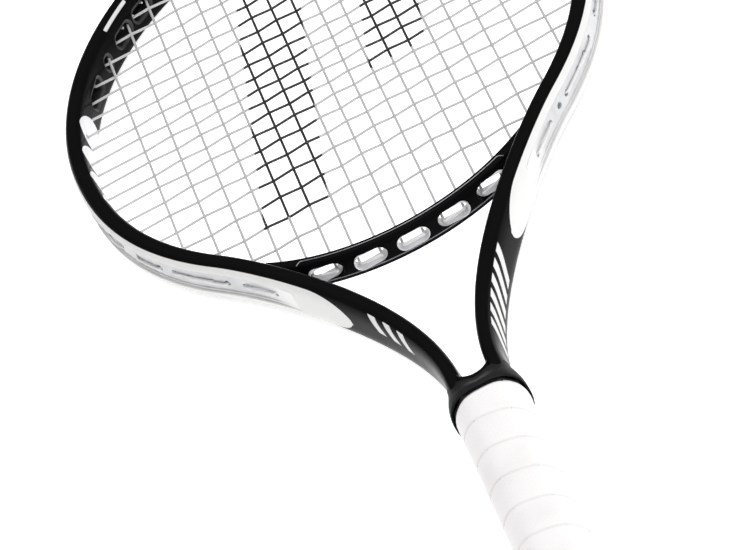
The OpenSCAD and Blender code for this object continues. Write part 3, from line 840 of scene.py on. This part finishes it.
def side_pads(material):
    front = [(1.0, 0.35), (1.0, -0.02), (0.985, -0.14), (0.95, -0.14), (0.91, 0.02), (0.84, 0.42),
             (0.72, 0.95), (0.55, 1.35), (0.36, 1.55), (0.24, 1.66), (0.17, 1.95), (0.13, 2.3)]
    back = [(0.13, PAD_DEPTH + 0.55), (0.88, PAD_DEPTH + 0.55)]
    for side, name, node in ((-1, "left", "left_port_liners"), (1, "right", "right_port_liners")):
        parts = [hoop_skin(pad_rings(*pad, side, front + back)) for pad in PADS]
        put(name + "_side_pads", *joined(parts), material, slot="liner_white", replaces=[node])


# ---- Liners of the open ports ----
LINER_SECTION = [(-5.25, 0.75), (-5.0, 0.95), (-4.35, 0.12), (-3.6, -0.12), (2.4, -0.12), (2.4, -0.95),
                 (-3.4, -0.95), (-4.4, -0.7), (-5.0, 0.2)]
SIDE_SLEEVE = [(-1.1, -0.12), (2.4, -0.12), (2.4, -0.95), (-0.3, -0.95), (-0.3, -3.4), (-1.1, -3.4)]


def port_liners(white, black, grey):
    def liners(ports, section):
        return joined([hoop_skin([p.loop(u, g, 16) for u, g in section]) for p in ports])
    put("tip_port_bushes", *liners(TIP_PORTS, LINER_SECTION), black, slot="liner_black",
        replaces=["tip_port_liners"])
    put("corner_port_bushes", *liners(both(HIGH_PORTS), LINER_SECTION), black, slot="liner_black")
    put("shoulder_port_bushes", *liners(both(LOW_PORTS), LINER_SECTION), grey, slot="grommet_nylon")
    put("side_port_sleeves", *liners(both(SIDE_PORTS), SIDE_SLEEVE), white, slot="liner_white")


# ---- The bridge ----
GROOVE_Z, GROOVE_D = 5.4, 0.3


def bridge(material, white, bright):
    angle = np.linspace(0, 2 * math.pi, 72, endpoint=False)
    half_w, half_h, power = BRIDGE_T / 2, BRIDGE_H / 2, 3.6
    u = half_w * signed_power(np.cos(angle), 2 / power)
    v = half_h * signed_power(np.sin(angle), 2 / power)
    groove = GROOVE_D * np.exp(-((np.abs(v) - GROOVE_Z) / 0.35) ** 2)
    u = np.where(u > 0, u - groove, u)
    rings = []
    for a in np.linspace(-BRIDGE_ANGLE, BRIDGE_ANGLE, 121):
        out = np.array([math.sin(a), -math.cos(a)])
        rings.append(ring_at(BRIDGE_CENTRE + out * (BRIDGE_R + half_w), out, np.column_stack([u, v])))
    piece = put("head_bridge", *skin(rings), None)
    flare = [(-12, 0.6), (-3.7, 0.6), (-3.0, 0), (3.0, 0), (3.45, 0.2), (12, 0.5)]
    ends = [tunnel(p, [(-13, 0), (13, 0)]) for p in both([LOW_PORTS[-1]])]
    cut(piece, put("cutter", *joined([tunnel(p, flare) for p in BRIDGE_PORTS] + ends), None))
    dress(piece, material, 32)
    own(piece, RACKET, ["throat_bridge"])
    lip = [(-3.1, -0.05), (3.0, -0.05), (3.3, 0.06), (3.45, 0.0), (3.4, -0.25), (2.9, -0.4), (-3.1, -0.4)]
    parts = [hoop_skin([p.loop(a, g, 16) for a, g in lip]) for p in BRIDGE_PORTS]
    put("bridge_port_sleeves", *joined(parts), white, slot="liner_white", replaces=["bridge_port_liners"])
    bridge_beads(bright)


BEAD_R = 0.26
HOOK_ANGLE, HOOK_RISE = math.radians(29.5), 3
LOW_BEAD_Z = -4.4


def bead(half_angle, r, hook, z):
    """A thin bead along the bridge, with its ends bent away from the strings."""
    turn = np.linspace(-1, 1, 121)
    angle = half_angle * turn
    r = r + hook * ramp(0.97, 1.0, np.abs(turn)) ** 2
    path = np.column_stack([r * np.sin(angle), BRIDGE_CENTRE[1] - r * np.cos(angle), np.full(len(turn), z)])
    return tube(path, BEAD_R, 8)


def bridge_beads(material):
    """One bead along the front face, hooked at both ends, and one low on the handle's side."""
    front = bead(HOOK_ANGLE, BRIDGE_R + 4, HOOK_RISE, BRIDGE_H / 2 + 0.05)
    low = bead(BRIDGE_ANGLE - math.radians(4), BRIDGE_R + BRIDGE_T - 0.16, 0, LOW_BEAD_Z)
    put("bridge_beads", *joined([front, low]), material, slot="steel")


CROTCH_Y, CROTCH_R, CROTCH_HALF_H = 223.8, 5.3, 10.7


def crotch(material):
    """The smooth saddle between the shafts, hollowed to a U above the collar."""
    angle = np.linspace(0, 2 * math.pi, 72, endpoint=False)
    low = HANDLE_TOP + 4
    rings = []
    for a in np.radians(np.linspace(-90, 90, 41)):
        top = CROTCH_Y + CROTCH_R * (1 - math.cos(a))
        half_h = CROTCH_HALF_H + 0.4 * math.sin(a) ** 2
        y = (top + low) / 2 + (top - low) / 2 * signed_power(np.cos(angle), 2 / 9)
        z = half_h * signed_power(np.sin(angle), 2 / 5)
        rings.append(np.column_stack([np.full(len(angle), 1.35 * CROTCH_R * math.sin(a)), y, z]))
    put("crotch_saddle", *skin(rings), material, slot="frame_lacquer", replaces=["throat_filler"])


# ---- Trim in the string channel ----
STRIP_END = 352


def strip_rings(ids, ribs):
    """A moulded strip in the channel with raised edges, and low ribs across it."""
    rings = []
    for i in ids:
        y = LINE.at[i][1]
        low = half_width(y) - channel_depth(y) - 0.05
        side = CHANNEL_W / 2 - 0.3
        tall = 1.45 * ramp(STRIP_END - 2, STRIP_LOW, y) + 0.1
        rib = 0.14 * (math.cos(2 * math.pi * LINE.arc[i] / ribs) > 0.75)
        top = low + (0.6 + rib) * tall
        edge = low + tall
        half = [[low, side], [edge - 0.1, side], [edge, side - 0.3], [edge - 0.05, side - 0.8],
                [top, side - 1.2], [top, 1.5]]
        section = np.array([[low, -side]] + half + [[top, 0]] + [[u, -v] for u, v in half[:0:-1]])
        rings.append(ring_at(LINE.at[i], LINE.outward[i], section))
    return skin(rings)


def string_holes(places):
    """Short round bars along each string's way out."""
    angle = np.linspace(0, 2 * math.pi, 14, endpoint=False)
    parts = []
    for place in places:
        side = np.array([-place.outward[1], place.outward[0]])
        rings = []
        for depth in (1.0, 9.0):
            flat = place.off(depth) + np.outer(1.9 * np.cos(angle), side)
            rings.append(np.column_stack([flat, 1.5 * np.sin(angle)]))
        parts.append(skin(rings))
    return joined(parts)


def both_places(places):
    return list(places) + [p.mirrored() for p in places]


def strips(grey, black):
    heights = LINE.at[:, 1]
    left = np.arange(len(heights)) < LINE.right_count
    crosses = [cross_place(c) for c in range(1, CROSSES + 1)]
    mains = [low_place(m) for m in range(BRIDGE_MAINS + 1, MAINS_HALF + 1)]
    mains += [high_place(m) for m in range(1, MAINS_HALF + 1)]
    places = both_places(crosses + mains)
    for name, node, choose in (("left_channel_strip", "left_grommet_strip", left),
                               ("right_channel_strip", "right_grommet_strip", ~left)):
        ids = np.nonzero(choose & (heights >= STRIP_END) & (heights <= BUMPER_LOW - 4))[0]
        piece = put(name, *strip_rings(ids, 6), None)
        cut(piece, put("cutter", *string_holes(places), None))
        dress(piece, grey)
        own(piece, RACKET, [node])
    ids = np.nonzero(heights >= BUMPER_LOW)[0]
    piece = put("tip_bumper", *strip_rings(ids, 4), None)
    cut(piece, put("cutter", *string_holes(places), None))
    dress(piece, black)
    own(piece, RACKET, ["bumper_guard"])


# ---- Strings ----
CROSS_SWING, MAIN_SWING = 0.46, 0.2
IN_WALL = 3.2


def woven(knots, heights, ends):
    """(positions, heights) along a string that bends at each knot and runs straight between."""
    bends = np.sort(np.concatenate([knots + d for d in (-1.5, -0.75, 0, 0.75, 1.5)]))
    t = np.concatenate([[ends[0]], bends, [ends[1]]])
    key = np.concatenate([[ends[0]], knots, [ends[1]]])
    level = np.concatenate([[0], heights, [0]])
    z = sum(np.interp(t + d, key, level) for d in (-1.2, -0.4, 0.4, 1.2)) / 4
    return t, z


def over(m, c):
    """1 where cross c passes over main m, and -1 where it passes under. Mains count from the left."""
    return 1 if (m + c) % 2 == 0 else -1


def low_end(m):
    if m <= BRIDGE_MAINS:
        return bridge_arc(main_x(m), BRIDGE_R + BRIDGE_T)[1]
    return low_place(m).off(-TUBE_W / 2)[1]


def strings(material):
    parts = []
    for m in range(1, MAINS_HALF + 1):
        for side in (-1, 1):
            number = MAINS_HALF + m if side > 0 else MAINS_HALF + 1 - m
            low, high = low_end(m), high_place(m).off(-TUBE_W / 2)[1]
            low -= 0.6 if m <= BRIDGE_MAINS else IN_WALL
            crossed = [c for c in range(1, CROSSES + 1) if low + 4 < cross_at(c) < high - 2]
            knots = np.array([cross_at(c) for c in crossed])
            z = np.array([-MAIN_SWING * over(number, c) for c in crossed])
            t, height = woven(knots, z, (low, high + IN_WALL))
            parts.append(tube(np.column_stack([np.full(len(t), side * main_x(m)), t, height]), STRING_R))
    put("main_string_bed", *joined(parts), material, slot="string", replaces=["main_strings"])
    parts = []
    xs = np.array([s * main_x(m) for s in (-1, 1) for m in range(1, MAINS_HALF + 1)])
    for c in range(1, CROSSES + 1):
        end = cross_place(c).off(-TUBE_W / 2)[0]
        order = np.sort(xs[np.abs(xs) < end - 1.5])
        first = MAINS_HALF + 1 - int((order < 0).sum())
        z = np.array([CROSS_SWING * over(first + k, c) for k in range(len(order))])
        t, height = woven(order, z, (-end - IN_WALL, end + IN_WALL))
        parts.append(tube(np.column_stack([t, np.full(len(t), cross_at(c)), height]), STRING_R))
    put("cross_string_bed", *joined(parts), material, slot="string", replaces=["cross_strings"])


def rounded(path, radius=1.6, steps=6):
    """The path with each inner corner turned into a small curve."""
    path = [np.asarray(p, float) for p in path]
    out = [path[0]]
    for a, b, c in zip(path, path[1:], path[2:]):
        before = b + unit(a - b) * min(radius, np.linalg.norm(a - b) * 0.45)
        after = b + unit(c - b) * min(radius, np.linalg.norm(c - b) * 0.45)
        for t in np.linspace(0, 1, steps):
            out.append((1 - t) ** 2 * before + 2 * t * (1 - t) * b + t * t * after)
    return np.array(out + [path[-1]])


TURN_OFF = TUBE_W / 2 - CHANNEL_D + 1 + STRING_R + 0.1


def around_hoop(a, b):
    """Out through a hole, along the channel and back in through the next one."""
    bow = unit((a.outward + b.outward) / 2)
    middle = (a.off(TURN_OFF) + b.off(TURN_OFF)) / 2 + bow * 0.25
    inside = IN_WALL - TUBE_W / 2
    return [a.off(inside), a.off(TURN_OFF), middle, b.off(TURN_OFF), b.off(inside)]


def string_turns(material):
    parts = []

    def turn(path, side, z):
        flat = rounded(path) * [side, 1]
        parts.append(tube(np.column_stack([flat, np.full(len(flat), z)]), STRING_R, 8))
    for side in (-1, 1):
        for m in range(1, MAINS_HALF - 1, 2):
            turn(around_hoop(high_place(m), high_place(m + 1)), side, 0.35)
        for m in range(BRIDGE_MAINS + 1, MAINS_HALF, 2):
            turn(around_hoop(low_place(m), low_place(m + 1)), side, 0.35)
        for m in range(2, BRIDGE_MAINS, 2):
            parts.append(bridge_turn(side * main_x(m), side * main_x(m + 1)))
    parts.append(bridge_turn(-main_x(1), main_x(1)))
    for c in range(1, CROSSES):
        turn(around_hoop(cross_place(c), cross_place(c + 1)), -1 if c % 2 else 1, -0.35)
    put("string_loops", *joined(parts), material, slot="string", replaces=["string_turns"])


def bridge_turn(xa, xb):
    r = BRIDGE_R + BRIDGE_T + STRING_R + 0.1
    inside = BRIDGE_R + BRIDGE_T - 0.4
    across = [bridge_arc(x, r) for x in np.linspace(xa, xb, 5)]
    path = [bridge_arc(xa, inside)] + across + [bridge_arc(xb, inside)]
    flat = rounded(path, 0.8)
    return tube(np.column_stack([flat, np.zeros(len(flat))]), STRING_R, 8)


# ---- Handle ----
def octagon_radius(theta, half_w, half_t, bevel, sharp=26):
    """Distance from the axis to a soft-cornered octagon."""
    total = 0
    diagonal = (half_w + half_t - bevel) / math.sqrt(2)
    for normal, distance in [(0, half_w), (90, half_t), (180, half_w), (270, half_t)] + \
            [(a, diagonal) for a in (45, 135, 225, 315)]:
        c = np.maximum(np.cos(theta - math.radians(normal)), 0)
        total = total + (c / distance) ** sharp
    return total ** (-1 / sharp)


def oval_radius(theta, half_w, half_t, power):
    """Distance from the axis to a superellipse."""
    return (np.abs(np.cos(theta) / half_w) ** power + np.abs(np.sin(theta) / half_t) ** power) ** (-1 / power)


GRIP_BEVEL = 8.12
GRIP_SHARP = 9
SEAM_Y = 183.4


def handle_ring(theta, r, y):
    return np.column_stack([r * np.cos(theta), np.broadcast_to(y, len(theta)), r * np.sin(theta)])


def grip(material):
    """A cushioned strip wound up the handle: each turn laps over the one before with a rounded edge."""
    count = 180
    theta = np.linspace(0, 2 * math.pi, count, endpoint=False)
    top = GRIP_TOP + 3.5
    ys = np.linspace(GRIP_LOW, top, 540)
    rings, along, across = [], [], []
    for y in ys:
        turns = (y - SEAM_Y) / PITCH_Y - (theta - math.pi / 2) / (2 * math.pi)
        phase = turns - np.floor(turns)
        lap = phase * PITCH_Y
        seam_dip = 0.32 * np.exp(-(np.minimum(lap, PITCH_Y - lap) / 0.75) ** 2)
        stitch_dip = 0.14 * np.exp(-((lap - 3.2) / 0.45) ** 2)
        swell = 0.38 * ramp(0, 1.3, lap) - seam_dip - 0.2 * ramp(6, PITCH_Y, lap) - stitch_dip
        flare = 1.9 * ramp(34, 27, y)
        end = -1.2 * ramp(GRIP_LOW + 1.2, GRIP_LOW, y) - 2.2 * ramp(top - 6, top, y)
        half_w, half_t = GRIP_W / 2 - 0.45 + flare, GRIP_T / 2 - 0.45 + flare
        r = octagon_radius(theta, half_w, half_t, GRIP_BEVEL, GRIP_SHARP) + swell + end
        rings.append(handle_ring(theta, r, y))
        along.append(theta * 16.5)
        across.append(lap)
    inner = []
    for y in (top, top - 6, 34.5, 33.5, GRIP_LOW):
        flare = 1.5 if y < 34 else -2.2 * (y == top)
        r = octagon_radius(theta, GRIP_W / 2 - 1.85 + flare, GRIP_T / 2 - 1.85 + flare, 7.5)
        inner.append(handle_ring(theta, r, y))
    piece = put("wound_grip", *hoop_skin(rings + inner), material, slot="grip_wrap",
                replaces=["grip_tape"], angle=60)
    pad = np.zeros(len(inner) * count)
    tell(piece, strip_along=np.concatenate(along + [pad]), strip_across=np.concatenate(across + [pad]))


COLLAR_FRONT_TOP = 217


def collar(material):
    """A soft rubber sleeve over the top of the grip, drawn in to the shafts, and higher at the sides."""
    theta = np.linspace(0, 2 * math.pi, 144, endpoint=False)
    high = np.abs(np.cos(theta)) ** 1.6
    top = lerp(COLLAR_FRONT_TOP, COLLAR_TOP + 2, high)
    around_grip = octagon_radius(theta, GRIP_W / 2, GRIP_T / 2, GRIP_BEVEL, GRIP_SHARP) + 0.25
    half_t = GRIP_T / 2 + np.where(np.sin(theta) > 0, 1.2, 0.2)
    low = np.maximum(oval_radius(theta, GRIP_W / 2 + 0.2, half_t, 2.5), around_grip)
    neck = oval_radius(theta, FOOT[0] + FOOT_TUBE_W / 2, TUBE_H / 2 - 0.5, 4)
    profile = [(0.0, 0.0), (0.0, 0.2), (0.015, 0.4), (0.05, 0.5), (0.09, 0.45), (0.12, 0.4)]
    profile += [(share, 0.4) for share in np.linspace(0.17, 0.9, 15)]
    profile += [(0.94, 0.46), (0.97, 0.48), (0.99, 0.35), (1.0, 0.1), (0.98, -0.1)]
    profile += [(share, -0.2) for share in (0.75, 0.45, 0.2)]
    rings = []
    for share, outer in profile:
        y = lerp(COLLAR_LOW + 3.4 + 2 * high, top, share)
        r = lerp(low, neck, ramp(0.1, 1.0, share)) + outer
        rings.append(handle_ring(theta, r, y))
    put("soft_collar", *hoop_skin(rings), material, slot="collar_rubber", replaces=["grip_collar"], angle=50)


def end_tape(material):
    """The tape that holds the grip's last turn, out of sight under the collar."""
    theta = np.linspace(0, 2 * math.pi, 144, endpoint=False)
    low = COLLAR_LOW + 5 + 2 * np.abs(np.cos(theta)) ** 1.6
    rings = []
    for rise, lift in ((0, 0), (0, 0.14), (1.2, 0.14), (1.2, 0)):
        r = octagon_radius(theta, GRIP_W / 2, GRIP_T / 2, GRIP_BEVEL, GRIP_SHARP) + lift
        rings.append(handle_ring(theta, r, low + rise))
    put("grip_end_tape", *hoop_skin(rings), material, slot="tape", replaces=["finishing_tape"])


# ---- Carried-over CAD pieces ----
def redress(looks):
    for node, material in looks.items():
        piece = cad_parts[node]
        piece.data.materials.clear()
        piece.data.materials.append(material)


def build():
    camera()
    floor()
    lights()
    black = moulded("black_nylon", (0.012, 0.012, 0.013), 0.5)
    white = moulded("white_moulding", (0.90, 0.90, 0.92), 0.35, 0.8)
    grey = moulded("grey_nylon", (0.66, 0.665, 0.675), 0.42, pale_end=STRIP_END + 2)
    cap = moulded("cap_plastic", (0.82, 0.82, 0.83), 0.35, 0.6)
    shell = moulded("handle_foam_shell", (0.09, 0.09, 0.095), 0.7, 1.2)
    door = moulded("door_plastic", (0.03, 0.03, 0.033), 0.45)
    bright = Paint("bright_bead", (0.3, 0.3, 0.32), 0.25, Metallic=0.6)
    bright.set("Roughness", bright.calc("MULTIPLY_ADD", bright.noise(1.5, 4), 0.3, 0.15))
    string = string_material("string_nylon", STRING_COLOR)
    # The loops get the lighter copy of the string colour: painted light over their shade in the channel.
    turn = string_material("string_turn_painted_light", PAINTED_LIGHT_TURN_COLOR)
    painted, plain = lacquer("frame_lacquer", True), lacquer("bridge_lacquer", False)
    wire, foam = wire_material(), foam_material()
    frame_tube(painted)
    side_pads(white)
    port_liners(white, black, grey)
    bridge(plain, white, bright.material)
    crotch(plain)
    strips(grey, black)
    strings(string)
    string_turns(turn)
    grip(grip_material())
    collar(rubber_material())
    end_tape(tape_material())
    redress({"front_pallet": shell, "back_pallet": shell, "handle_foam": foam,
             "left_tube_plug": foam, "right_tube_plug": foam, "butt_cap": cap, "butt_staples": wire,
             "trap_door": door, "door_pin": wire})


build()
